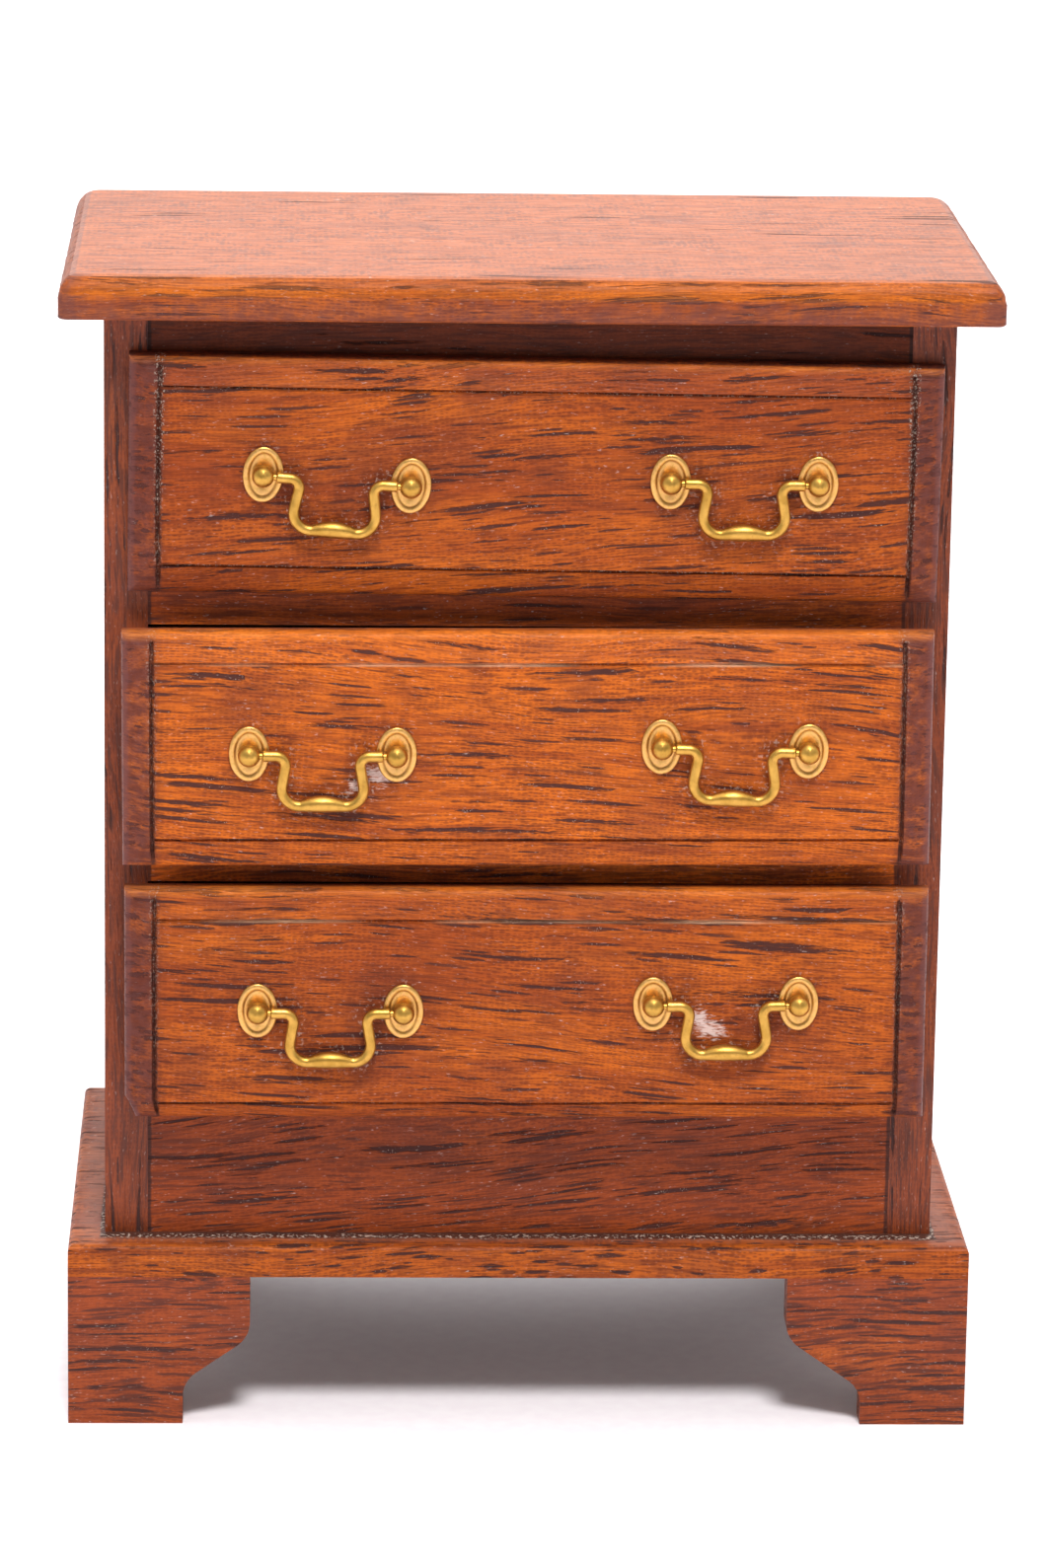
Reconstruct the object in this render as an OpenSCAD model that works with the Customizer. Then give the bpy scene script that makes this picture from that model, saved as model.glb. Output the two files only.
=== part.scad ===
// Chest of three drawers, a miniature at one twelfth of full size.
// X runs across the front from left to right, Y from the front to the back, and Z up.
// The origin is on the surface that the chest stands on, under the middle of its whole
// depth, handles included. All sizes are in millimetres.

/* [Case] */
// Width of the case across its two sides
case_w = 54.3; // [53:0.1:56]
// Depth of the case from the face of its rails to the back
case_d = 32.6; // [30:0.1:33.5]
// Height of the case, between the base board and the top board
case_h = 61.2; // [60:0.1:63]
// Thickness of the case boards
board_t = 2.8; // [2.5:0.1:2.9]
// Thickness of the back panel
back_panel_t = 1.6; // [1.2:0.1:2]
// Width of the rebate in each side that holds the back panel
back_rebate = 1.4; // [0.8:0.1:1.8]
// Depth of the top rail and the dividers, front to back
rail_d = 5; // [4:0.5:8]
// Height of the deep rail under the lowest drawer
bottom_rail_h = 9.6; // [8:0.1:11]
// Width of the runners that the drawers slide on
runner_w = 2.4; // [1.8:0.1:4]
// Height of the runners
runner_h = 2; // [1.5:0.1:2.6]

/* [Top board] */
// Width of the top board
top_w = 60; // [58:0.1:62]
// Depth of the top board
top_d = 36; // [35:0.1:38]
// Thickness of the top board
top_t = 2.8; // [2.4:0.1:3.2]
// Height of the square part of its moulded edge
top_edge_h = 1.5; // [0.8:0.1:2]
// How far the round part of its edge comes in
top_round_w = 1.2; // [0.5:0.1:2]

/* [Base] */
// Width of the base board and across the feet
base_w = 59; // [57:0.1:61]
// Depth of the base board and across the feet
base_d = 35.7; // [34:0.1:37]
// Thickness of the base board
base_t = 2.1; // [1.6:0.1:2.6]
// Rounding of the base board's upper edge
base_round = 0.4; // [0.2:0.1:0.8]
// Height of the bracket feet
foot_h = 10.1; // [9:0.1:12]
// Width of each bracket where it meets the base board
foot_w = 11.9; // [11:0.1:14]
// Width of the left and right brackets at the floor
toe_w = [7.5, 6.9]; // [6:0.1:8]
// Thickness of the brackets
foot_t = 2.2; // [1.8:0.1:3]
// Height of the straight part of a bracket, under the base board
foot_straight = 3.1; // [2:0.1:3.5]
// Radius of the two curves of a bracket's outline
foot_r = 2; // [1.2:0.1:2.2]
// Angle through which each of those curves turns
foot_turn = 55; // [45:1:60]
// Side of the square glue block behind each foot
block_w = 3.4; // [2.5:0.1:5]
// Height of the glue blocks
block_h = 8; // [5:0.5:8.5]

/* [Drawers] */
// Height of each drawer opening
opening_h = 14.25; // [14:0.05:14.5]
// Width of the drawer fronts
front_w = 51.85; // [50.5:0.05:52.5]
// Height of the drawer fronts
front_h = 15.4; // [15:0.1:15.8]
// Thickness of the lip that laps over the case
lip_t = 1.2; // [0.8:0.1:1.6]
// How far the field stands above the lip
field_rise = 1; // [0.6:0.1:1.4]
// Width of the bevel around the field
bevel_w = 1.95; // [1.5:0.05:2.4]
// Width of the bevel along the foot of the lowest front
lowest_bevel_w = 1.25; // [1:0.05:2.4]
// Height of the small step between bevel and field
bevel_step = 0.15; // [0.05:0.05:0.3]
// Depth of the tongue at the back of a front, inside the opening
tongue_d = 1; // [0.6:0.1:1.5]
// Play between a drawer and each side of its opening
side_play = 0.25; // [0.15:0.05:0.5]
// Play under the drawer box
under_play = 0.15; // [0.1:0.05:0.3]
// Play above the drawer box
over_play = 0.4; // [0.3:0.05:1]
// Length of the drawer sides
box_d = 29.5; // [24:0.5:29.5]
// Thickness of the drawer sides and back
box_t = 1.6; // [1.2:0.1:2]
// Thickness of the drawer bottom
bottom_t = 1; // [0.8:0.1:1.2]
// Height of the groove for the bottom above the lower edge of the sides
groove_z = 0.9; // [0.6:0.1:1.5]
// Depth of that groove
groove_d = 0.8; // [0.4:0.1:1]
// How far each drawer stands open at rest, from the top one down
ajar = [0.3, 3, 2.5]; // [0.2:0.1:10]
// How far each front was glued off centre, to the right
front_shift = [0.35, 0, 0.15]; // [-0.5:0.05:0.5]
// How far each front was glued askew, clockwise, in degrees
front_skew = [0.5, -0.3, -0.15]; // [-0.6:0.05:0.6]

/* [Handles] */
// Distance between the two posts of a handle
post_spacing = 9.4; // [9:0.1:10]
// Distance from the middle of a drawer to the middle of each handle
handle_x = 13; // [11:0.1:16]
// Drift of the hand-drilled left handles to the right, from the top drawer down
left_drift = [0.7, -0.1, 0.5]; // [-1:0.1:1]
// Drift of the hand-drilled right handles to the right
right_drift = [0.6, 0.2, 0]; // [-1:0.1:1]
// Height of the left handles above the middle of their front
left_lift = [0.1, -0.1, -0.2]; // [-1:0.1:1]
// Height of the right handles above the middle of their front
right_lift = [0.1, 0.4, 0.4]; // [-1:0.1:1]
// Tilt of the left handles, clockwise, in degrees
left_tilt = [4, 0, 0]; // [-5:0.5:5]
// Tilt of the right handles, clockwise, in degrees
right_tilt = [0.5, 1.5, -0.5]; // [-5:0.5:5]
// Width of the oval rosettes
rosette_w = 2.6; // [2.2:0.1:3]
// Height of the oval rosettes
rosette_h = 3.6; // [3:0.1:4]
// Thickness of the rosettes at their rim
rosette_t = 0.3; // [0.2:0.05:0.35]
// Thickness of the dished middle of the rosettes
dish_t = 0.12; // [0.1:0.02:0.18]
// Width of the raised rim
rim_w = 0.32; // [0.2:0.02:0.4]
// Radius of the ball at the head of a post
ball_r = 0.72; // [0.65:0.01:0.74]
// Radius of the neck between ball and rosette
neck_r = 0.45; // [0.35:0.05:0.55]
// Radius of the nail that holds the post in the front
nail_r = 0.25; // [0.2:0.05:0.3]
// How deep the nail goes into the front
nail_l = 2.6; // [1.5:0.1:2.9]
// Height of the bail's axis above the field
axis_h = 0.75; // [0.75:0.01:0.85]
// Radius of the bail's wire
wire_r = 0.32; // [0.28:0.01:0.34]
// Radius of the pivot pins at the ends of the bail
pivot_r = 0.21; // [0.18:0.01:0.22]
// Play around the pivot pins
pivot_play = 0.05; // [0.03:0.01:0.08]
// Length of wire between the two shoulders of the bail
shoulder_span = 7.26; // [7:0.02:7.4]
// Distance between the bail's two legs, just below the axis
leg_span = 4.74; // [4.4:0.02:5]
// Drop from the axis to the bottom bar
bail_drop = 3.26; // [3:0.02:3.6]
// Radius of the bend at each shoulder
shoulder_bend = 0.5; // [0.4:0.02:0.6]
// Radius of the bend at each lower corner
corner_bend = 1.15; // [1:0.05:1.2]
// Outward lean of the bail's legs, in degrees
leg_lean = 10; // [5:1:14]
// Radius of the grip at its thickest
grip_r = 0.57; // [0.4:0.01:0.6]

/* [Hidden] */
$fn = 32;
LEVELS = ["upper", "middle", "lower"];
HANDS = ["left", "right"];
BOX_PARTS = ["front", "left_side", "right_side", "back", "bottom"];
HANDLE_PARTS = ["rosettes", "posts", "bail"];
CASE_NODES = ["top_board", "left_side_panel", "right_side_panel", "back_panel", "top_rail",
              "upper_divider", "lower_divider", "bottom_rail", "base_board", "foot_glue_blocks"];
CORNERS = ["front_left", "front_right", "rear_left", "rear_right"];
RUNNER_NODES = [for (level = LEVELS, hand = HANDS) str(level, "_", hand, "_runner")];
BRACKET_NODES = [for (corner = CORNERS, way = ["across", "along"]) str(corner, "_bracket_", way)];
DRAWER_NODES = [for (level = LEVELS, part = BOX_PARTS) str(level, "_drawer_", part)];
HANDLE_NODES = [for (level = LEVELS, hand = HANDS, part = HANDLE_PARTS)
                str(level, "_", hand, "_", part)];

field_t = lip_t + field_rise;
handle_reach = axis_h + ball_r;
nose = max(ajar) + field_t + handle_reach - (top_d - case_d);
back_y = (top_d + nose) / 2;
case_front_y = back_y - case_d;
base_front_y = back_y - base_d;
case_z = foot_h + base_t;
top_z = case_z + case_h;
opening_w = case_w - 2 * board_t;
pitch = opening_h + board_t;
lowest_opening_z = case_z + bottom_rail_h;
top_rail_z = opening_z(0) + opening_h;
box_w = opening_w - 2 * side_play;
box_h = opening_h - under_play - over_play;
tongue_w = box_w - 2 * box_t;
bottom_w = tongue_w + 2 * groove_d;
shoulder_x = shoulder_span / 2;
bend_x = leg_span / 2 + shoulder_bend;
corner_z = -bail_drop + corner_bend;
corner_turn = 90 + leg_lean;
leg_top = [-bend_x + shoulder_bend * cos(leg_lean), -shoulder_bend * (1 + sin(leg_lean))];
leg_l = (leg_top[1] - corner_z - corner_bend * sin(leg_lean)) / cos(leg_lean);
// The legs are a hair thinner than the bends and run a little way into them, so that they fuse.
leg_slim = 0.01;
leg_bury = 0.05;
corner_x = leg_top[0] - leg_l * sin(leg_lean) + corner_bend * cos(leg_lean);

MAHOGANY = [0.62, 0.27, 0.13];
DARK_MAHOGANY = [0.45, 0.17, 0.09];
DRAWER_WOOD = [0.78, 0.62, 0.42];
PANEL_WOOD = [0.70, 0.52, 0.34];
BRASS = [0.80, 0.62, 0.25];

// Height of the lower edge of an opening, counted from the top drawer down.
function opening_z(level) = lowest_opening_z + (2 - level) * pitch;

// Side of a drawer on which a handle or a side lies: -1 is left and 1 is right.
function side_of(hand) = hand == 0 ? -1 : 1;

// Where a handle's middle lies on its drawer front, and how far it is turned.
function handle_place(level, hand) = [
    side_of(hand) * handle_x + (hand == 0 ? left_drift : right_drift)[level],
    opening_h / 2 + (hand == 0 ? left_lift : right_lift)[level]];
function handle_tilt(level, hand) = (hand == 0 ? left_tilt : right_tilt)[level];

// Points of an arc about a centre, from one angle to another.
function arc(centre, r, from, to, steps = 8) = [for (i = [0:steps])
    let (a = from + (to - from) * i / steps) centre + r * [cos(a), sin(a)]];

// Outline of an oval.
function oval(w, h, steps = 28) = [for (i = [0:steps - 1])
    let (a = 360 * i / steps) [w / 2 * cos(a), h / 2 * sin(a)]];

// Section of a board whose upper edges are rounded: the first edge always, the last on request.
function rounded_edge(length, thickness, straight_h, round_w, both) = concat(
    [[0, 0]],
    [for (a = [0:15:90]) [round_w * (1 - cos(a)), straight_h + (thickness - straight_h) * sin(a)]],
    both ? [for (a = [90:-15:0])
        [length - round_w * (1 - cos(a)), straight_h + (thickness - straight_h) * sin(a)]]
         : [[length, thickness]],
    [[length, 0]]);

// Section of a fielded front: a lip, a bevel with a small step, and the field.
function fielded_section(length, low_bevel, high_bevel) = [
    [0, 0], [0, -lip_t],
    [low_bevel, bevel_step - field_t], [low_bevel, -field_t],
    [length - high_bevel, -field_t], [length - high_bevel, bevel_step - field_t],
    [length, -lip_t], [length, 0]];

// Outline of a bracket foot seen from outside, with its corner at the left.
function bracket_outline(toe) = let (
    high = foot_h - foot_straight,
    run = foot_w - toe - 2 * foot_r * (1 - cos(foot_turn)),
    low = high - 2 * foot_r * sin(foot_turn) - run / tan(foot_turn))
    concat([[0, 0], [0, foot_h], [foot_w, foot_h]],
           arc([foot_w - foot_r, high], foot_r, 0, -foot_turn),
           arc([toe + foot_r, low], foot_r, 180 - foot_turn, 180),
           [[toe, 0]]);

// Lays a flat outline upright, facing the front, with its thickness towards the back.
module upright(thickness) {
    translate([0, thickness, 0]) rotate([90, 0, 0]) linear_extrude(thickness) children();
}

// A board with rounded upper edges at the front and both sides, mitred at the corners.
module moulded_board(w, d, t, straight_h, round_w) {
    intersection() {
        translate([-w / 2, 0, 0]) upright(d) polygon(rounded_edge(w, t, straight_h, round_w, true));
        translate([-w / 2, 0, 0]) rotate([90, 0, 90])
            linear_extrude(w) polygon(rounded_edge(d, t, straight_h, round_w, false));
    }
}

module top_board() {
    color(MAHOGANY) translate([0, back_y - top_d, top_z])
        moulded_board(top_w, top_d, top_t, top_edge_h, top_round_w);
}

module base_board() {
    color(MAHOGANY) translate([0, base_front_y, foot_h])
        moulded_board(base_w, base_d, base_t, base_t - base_round, base_round);
}

// A side of the case, with a rebate for the back panel along its inner rear edge.
module side_panel(hand) {
    color(DARK_MAHOGANY) mirror([1 - hand, 0, 0]) difference() {
        translate([opening_w / 2, case_front_y, case_z]) cube([board_t, case_d, case_h]);
        translate([opening_w / 2 - 1, back_y - back_panel_t, case_z - 1])
            cube([back_rebate + 1, back_panel_t + 1, case_h + 2]);
    }
}

module back_panel() {
    w = opening_w + 2 * back_rebate;
    color(PANEL_WOOD) translate([-w / 2, back_y - back_panel_t, case_z])
        cube([w, back_panel_t, case_h]);
}

// A rail across the front of the case.
module rail(z, h, d) {
    color(DARK_MAHOGANY) translate([-opening_w / 2, case_front_y, z]) cube([opening_w, d, h]);
}

// A strip behind each rail, along each side, that a drawer slides on.
module runner(level, hand) {
    front_d = level == 2 ? board_t : rail_d;
    color(DRAWER_WOOD) mirror([1 - hand, 0, 0])
        translate([opening_w / 2 - runner_w, case_front_y + front_d, opening_z(level) - runner_h])
            cube([runner_w, case_d - front_d - back_panel_t, runner_h]);
}

// One bracket of a foot, mitred to its neighbour at the corner of the base.
module bracket(toe) {
    intersection() {
        upright(foot_t) polygon(bracket_outline(toe));
        linear_extrude(foot_h) polygon([[0, 0], [foot_w, 0], [foot_w, foot_t], [foot_t, foot_t]]);
    }
}

// Puts a piece that is drawn at the front left corner of the base at any of its corners.
module at_corner(hand, rear) {
    mirror([hand, 0, 0]) translate([-base_w / 2, rear ? back_y : base_front_y, 0])
        mirror([0, rear ? 1 : 0, 0]) children();
}

module corner_bracket(hand, rear, along) {
    color(MAHOGANY) at_corner(hand, rear)
        mirror(along ? [1, -1, 0] : [0, 0, 0]) bracket(toe_w[hand]);
}

module foot_glue_blocks() {
    color(DRAWER_WOOD) for (hand = [0, 1], rear = [false, true]) at_corner(hand, rear)
        translate([foot_t, foot_t, foot_h - block_h]) cube([block_w, block_w, block_h]);
}

// Puts a piece of a drawer in place; its own origin is behind the lip, at the opening's foot.
module in_drawer(level) {
    translate([0, case_front_y - ajar[level], opening_z(level)]) children();
}

// Puts a piece of a handle in place; its own origin is on the field, midway between the posts.
module in_handle(level, hand) {
    place = handle_place(level, hand);
    in_drawer(level) translate([place[0], -field_t, place[1]])
        rotate([0, handle_tilt(level, hand), 0]) children();
}

// Both posts of a handle, or their holes.
module at_posts() {
    for (side = [-1, 1]) translate([side * post_spacing / 2, 0, 0]) children();
}

module fielded_panel(low_bevel) {
    intersection() {
        translate([-front_w / 2, 0, -front_h / 2])
            linear_extrude(front_h) polygon(fielded_section(front_w, bevel_w, bevel_w));
        translate([front_w / 2, 0, -front_h / 2]) rotate([0, -90, 0])
            linear_extrude(front_w) polygon(fielded_section(front_h, low_bevel, bevel_w));
    }
}

module drawer_front(level) {
    color(MAHOGANY) difference() {
        in_drawer(level) union() {
            translate([front_shift[level], 0, opening_h / 2]) rotate([0, front_skew[level], 0])
                fielded_panel(level == 2 ? lowest_bevel_w : bevel_w);
            translate([-tongue_w / 2, 0, under_play]) cube([tongue_w, tongue_d, box_h]);
        }
        for (hand = [0, 1]) in_handle(level, hand) at_posts()
            translate([0, nail_l, 0]) rotate([90, 0, 0]) cylinder(r = nail_r, h = nail_l + 1);
    }
}

module drawer_side(level, hand) {
    color(DRAWER_WOOD) in_drawer(level) mirror([1 - hand, 0, 0]) difference() {
        translate([tongue_w / 2, 0, under_play]) cube([box_t, box_d, box_h]);
        translate([tongue_w / 2 - 1, tongue_d, under_play + groove_z])
            cube([groove_d + 1, box_d, bottom_t]);
    }
}

module drawer_back(level) {
    z = under_play + groove_z + bottom_t;
    color(DRAWER_WOOD) in_drawer(level) translate([-tongue_w / 2, box_d - box_t, z])
        cube([tongue_w, box_t, box_h - groove_z - bottom_t]);
}

module drawer_bottom(level) {
    color(PANEL_WOOD) in_drawer(level) translate([-bottom_w / 2, tongue_d, under_play + groove_z])
        cube([bottom_w, box_d - tongue_d, bottom_t]);
}

// Oval back plates with a raised rim and a hole for the nail.
module rosettes(level, hand) {
    color(BRASS) in_handle(level, hand) at_posts() rotate([90, 0, 0]) difference() {
        linear_extrude(rosette_t) polygon(oval(rosette_w, rosette_h));
        translate([0, 0, dish_t]) linear_extrude(rosette_t)
            polygon(oval(rosette_w - 2 * rim_w, rosette_h - 2 * rim_w));
        translate([0, 0, -1]) cylinder(r = nail_r, h = rosette_t + 2);
    }
}

// Ball-headed nails; each ball has a blind bore that faces its partner.
module posts(level, hand) {
    bore_l = ball_r + 0.35;
    color(BRASS) in_handle(level, hand) for (side = [-1, 1])
        translate([side * post_spacing / 2, 0, 0]) difference() {
            union() {
                // Turned so that the seam of the sphere faces forward, clear of the bore and the neck.
                translate([0, -axis_h, 0]) rotate([0, 0, -90]) sphere(r = ball_r);
                translate([0, -dish_t, 0]) rotate([90, 0, 0])
                    cylinder(r = neck_r, h = axis_h - dish_t);
                translate([0, nail_l, 0]) rotate([90, 0, 0])
                    cylinder(r = nail_r, h = nail_l + axis_h);
            }
            translate([side * (bore_l - ball_r), -axis_h, 0]) rotate([0, -90 * side, 0])
                cylinder(r = pivot_r + pivot_play, h = bore_l + 1);
        }
}

// A length of round wire bent through an angle, in the upright plane of the bail.
module wire_bend(centre, r, from, turn) {
    translate([centre[0], 0, centre[1]]) rotate([90, 0, 0]) rotate([0, 0, from])
        rotate_extrude(angle = turn) translate([r, 0]) circle(r = wire_r);
}

// The left half of a bail, from the middle of the bottom bar to the pivot pin.
module half_bail() {
    pivot_l = post_spacing / 2 - shoulder_x + 0.15;
    translate([-shoulder_x - pivot_l, 0, 0]) rotate([0, 90, 0]) cylinder(r = pivot_r, h = pivot_l);
    translate([-shoulder_x, 0, 0]) rotate([0, 90, 0]) cylinder(r = wire_r, h = shoulder_x - bend_x);
    wire_bend([-bend_x, -shoulder_bend], shoulder_bend, -leg_lean, corner_turn);
    translate([leg_top[0], 0, leg_top[1]]) rotate([0, 180 + leg_lean, 0])
        translate([0, 0, -leg_bury]) cylinder(r = wire_r - leg_slim, h = leg_l + 2 * leg_bury);
    wire_bend([corner_x, corner_z], corner_bend, 180 - leg_lean, corner_turn);
}

// The swelling in the middle of the bottom bar.
module grip() {
    half_l = -corner_x;
    profile = [for (i = [0:12]) let (u = i / 6 - 1)
        [wire_r + (grip_r - wire_r) * pow(1 - u * u, 1.4), half_l * u]];
    translate([0, 0, -bail_drop]) rotate([0, 90, 0])
        rotate_extrude() polygon(concat([[0, -half_l]], profile, [[0, half_l]]));
}

module bail(level, hand) {
    color(BRASS) in_handle(level, hand) translate([0, -axis_h, 0]) union() {
        half_bail();
        rotate([0, 0, 180]) half_bail();
        grip();
    }
}

top_board();
side_panel(0);  // left_side_panel
side_panel(1);  // right_side_panel
back_panel();
rail(top_rail_z, top_z - top_rail_z, rail_d);  // top_rail
rail(opening_z(0) - board_t, board_t, rail_d);  // upper_divider
rail(opening_z(1) - board_t, board_t, rail_d);  // lower_divider
rail(case_z, bottom_rail_h, board_t);  // bottom_rail
base_board();
foot_glue_blocks();

for (hand = [0, 1], rear = [0, 1]) {
    corner = str(CORNERS[2 * rear + hand], "_bracket_");
    corner_bracket(hand, rear == 1, false);
    corner_bracket(hand, rear == 1, true);
}

for (level = [0:2]) {
    drawer = str(LEVELS[level], "_drawer_");
    drawer_front(level);
    drawer_side(level, 0);
    drawer_side(level, 1);
    drawer_back(level);
    drawer_bottom(level);
    for (hand = [0, 1]) {
        place = str(LEVELS[level], "_", HANDS[hand], "_");
        runner(level, hand);
        rosettes(level, hand);
        posts(level, hand);
        bail(level, hand);
    }
}
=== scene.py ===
import math

import bpy
import numpy as np
from mathutils import Matrix, Vector, noise

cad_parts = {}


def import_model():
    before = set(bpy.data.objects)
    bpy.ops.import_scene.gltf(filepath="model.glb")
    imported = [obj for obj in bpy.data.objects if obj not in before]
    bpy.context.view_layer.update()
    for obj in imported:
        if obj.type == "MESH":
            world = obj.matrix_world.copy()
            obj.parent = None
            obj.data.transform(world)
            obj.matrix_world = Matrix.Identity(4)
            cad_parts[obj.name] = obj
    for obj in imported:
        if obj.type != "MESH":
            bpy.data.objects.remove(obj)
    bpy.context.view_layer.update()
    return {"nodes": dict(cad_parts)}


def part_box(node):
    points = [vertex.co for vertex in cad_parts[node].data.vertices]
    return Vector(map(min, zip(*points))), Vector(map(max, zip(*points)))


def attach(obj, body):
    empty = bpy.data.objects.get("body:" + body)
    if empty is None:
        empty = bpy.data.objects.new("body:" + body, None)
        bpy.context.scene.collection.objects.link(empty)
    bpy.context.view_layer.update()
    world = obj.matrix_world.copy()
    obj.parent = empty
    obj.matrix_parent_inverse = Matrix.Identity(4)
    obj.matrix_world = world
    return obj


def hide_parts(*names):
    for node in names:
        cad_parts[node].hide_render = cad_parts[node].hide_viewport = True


# Looks for a miniature chest of three drawers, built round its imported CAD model.
# Sizes are in millimetres, and MM turns them into Blender's metres.
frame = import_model()
MM = 0.001
LEVELS = ("upper", "middle", "lower")
HANDS = ("left", "right")

# The drawer fronts, as the CAD draws them. SKEW turns each in its own plane, in degrees.
FRONT_W = 51.85
FRONT_H = 15.4
LIP_T = 1.2
FIELD_RISE = 1.0
BEVEL_W = 1.95
FOOT_BEVEL_W = {"upper": 1.95, "middle": 1.95, "lower": 1.25}
BEVEL_STEP = 0.15
SKEW = {"upper": 0.5, "middle": -0.3, "lower": -0.15}

# The saw kerfs and scribed lines round each field, and the rounding of a front's edges. KERF_END
# is how far below the top a kerf stops. FRONT_SEED makes each front's unevenness its own. A front's
# mesh has a point every DENSE_STEP within DENSE_W of its edges, and coarser ones between.
KERF_W = 0.48
KERF_DEPTH = 0.30
KERF_END = 0.4
LINE_W = 0.24
LINE_DEPTH = 0.18
ARRIS_R = 0.32
FRONT_SEED = {"upper": 0.0, "middle": 31.0, "lower": 62.0}
DENSE_W = 2.4
DENSE_STEP = 0.08
COARSE_STEP_X = 0.42
COARSE_STEP_Z = 0.36

# The handles. Each is turned by its tilt in degrees, and AXIS_H is how far its axis stands before
# the field. The bail runs from its pivots over two shoulders and down two legs to the grip.
POST_SPACING = 9.4
HANDLE_TILT = {
    "upper_left": 4.0, "upper_right": 0.5,
    "middle_left": 0.0, "middle_right": 1.5,
    "lower_left": 0.0, "lower_right": -0.5,
}
AXIS_H = 0.75
WIRE_R = 0.36
PIVOT_R = 0.21
PIVOT_TIP_R = 0.14
PIVOT_REACH = 0.15
SHOULDER_X = 3.84
SHOULDER_ROUND = 0.1
BEND_X = 2.99
SHOULDER_BEND = 0.62
CORNER_BEND = 1.15
LEG_LEAN = 10.0
BAIL_DROP = 3.26
GRIP_R = 0.57
GRIP_LIFT = 0.15
ROSETTE_W = 2.6
ROSETTE_H = 3.6

# Lint caught behind the handles: which handle, where from the handle's middle, and its half sizes.
LINT = {
    "middle": (("left", 3.7, -1.3, 1.1, 0.6), ("left", 2.0, -2.2, 0.4, 0.4)),
    "lower": (("right", -0.9, -1.8, 1.0, 0.6), ("right", -1.7, -0.9, 0.5, 0.5)),
}

# The top board: the square part of its edge, the round part above it with the step between them,
# and the radii of its corners. Its outline has a point every OUTLINE_STEP.
TOP_EDGE_H = 1.5
TOP_ROUND_W = 1.2
TOP_ROUND_STEP = 0.08
TOP_FRONT_CORNER = 0.5
TOP_BACK_CORNER = 1.8
CORNER_STEPS = 10
OUTLINE_STEP = 0.9

# The camera, fitted to the outlines of the photographed chest. Its angles are in radians.
CAMERA_PLACE = (-15.512, -413.594, 143.082)
CAMERA_YAW = 0.038417
CAMERA_PITCH = 0.24543
CAMERA_ROLL = 0.01478
CAMERA_LENS = 146.67
CAMERA_SENSOR = 36

# The lights, placed in metres, and the brightness of the white studio on the camera's side and
# behind the chest. SUN_WIDTH is the angle that it is seen at, in degrees.
SUN_PLACE = (0.05, -0.52, 0.85)
SUN_STRENGTH = 2.75
SUN_WIDTH = 14.0
OVERHEAD_PLACE = (0.0, 0.1, 0.6)
OVERHEAD_WATTS = 1.2
OVERHEAD_SIZE = 0.4
FRONT_BRIGHTNESS = 0.34
BACK_BRIGHTNESS = 1.4


# ---------------------------------------------------------------- node trees

class Tree:
    """The nodes of one material. Each call adds a node and returns an output of it."""

    def __init__(self, name):
        self.material = bpy.data.materials.new(name)
        self.material.use_nodes = True
        self.tree = self.material.node_tree
        self.shader = self.tree.nodes["Principled BSDF"]

    def feed(self, socket, value):
        if isinstance(value, bpy.types.NodeSocket):
            self.tree.links.new(value, socket)
        else:
            socket.default_value = value

    def node(self, kind, inputs, **settings):
        made = self.tree.nodes.new("ShaderNode" + kind)
        for key, value in settings.items():
            setattr(made, key, value)
        for key, value in inputs.items():
            self.feed(made.inputs[key], value)
        return made

    def math(self, operation, a, b=0.0):
        return self.node("Math", {0: a, 1: b}, operation=operation).outputs[0]

    def vector(self, operation, a, b=(0, 0, 0)):
        return self.node("VectorMath", {0: a, 1: b}, operation=operation).outputs["Vector"]

    def length(self, a):
        return self.node("VectorMath", {0: a}, operation="LENGTH").outputs["Value"]

    def step(self, value, low, high, to=(0.0, 1.0)):
        """Runs smoothly from to[0] where value is low, to to[1] where it is high."""
        inputs = {"Value": value, "From Min": low, "From Max": high, "To Min": to[0], "To Max": to[1]}
        return self.node("MapRange", inputs, interpolation_type="SMOOTHSTEP").outputs["Result"]

    def mix(self, factor, a, b, blend="MIX"):
        inputs = {0: factor, 6: a, 7: b}
        made = self.node("Mix", inputs, data_type="RGBA", blend_type=blend, clamp_factor=True)
        return made.outputs[2]

    def tint(self, under, mask, share, over):
        """Lays one colour over another where mask is 1, at a share of its full strength."""
        return self.mix(self.math("MULTIPLY", mask, share), under, over)

    def times(self, a, b):
        return self.math("MULTIPLY", a, b)

    def noise(self, vector, scale, detail=2.0, output="Fac"):
        inputs = {"Vector": vector, "Scale": scale, "Detail": detail}
        return self.node("TexNoise", inputs).outputs[output]

    def attribute(self, name):
        return self.node("Attribute", {}, attribute_name=name).outputs["Fac"]

    def finish(self, colour, roughness, height, **fixed):
        """Joins colour, roughness and a height in millimetres to the shader, and sets what is the
        same all over on the shader's own sockets."""
        bump = self.node("Bump", {"Height": height, "Distance": MM, "Strength": 1.0})
        self.feed(self.shader.inputs["Base Color"], colour)
        self.feed(self.shader.inputs["Roughness"], roughness)
        self.feed(self.shader.inputs["Normal"], bump.outputs[0])
        for key, value in fixed.items():
            self.shader.inputs[key.replace("_", " ")].default_value = value
        return self.material


def colour(r, g, b):
    return (r, g, b, 1.0)


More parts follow.
